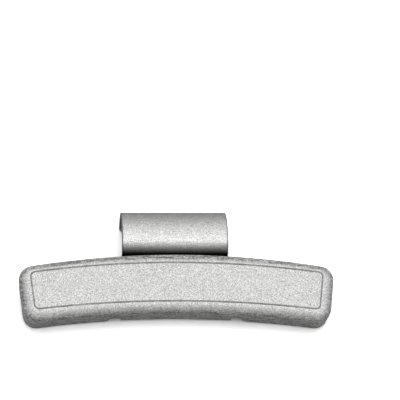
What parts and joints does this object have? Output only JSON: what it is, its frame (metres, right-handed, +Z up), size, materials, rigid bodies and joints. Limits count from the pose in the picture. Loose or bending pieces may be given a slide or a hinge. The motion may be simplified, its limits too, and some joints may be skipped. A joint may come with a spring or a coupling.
{
  "type": "wheel balance weight",
  "caption": "Clip-on wheel balance weight: a curved die-cast bar with a bent spring-steel clip staked to its back, made to hook over a rim flange.",
  "frame": {"origin": "on the surface that the weight lies on, under the middle of its bounding box", "axes": "+X along the bar, parallel to the rim; +Y from the bar to its clip; +Z up, with the bar's face turned up and leaning 12.09 degrees towards -Y, because the weight lies back on its clip"},
  "size_m": [0.074, 0.0304, 0.0114],
  "materials": {
    "zinc_casting": "matte",
    "spring_steel": "satin"
  },
  "bodies": {
    "root": {"cast_weight": "zinc_casting", "spring_clip": "spring_steel"}
  },
  "joints": []
}
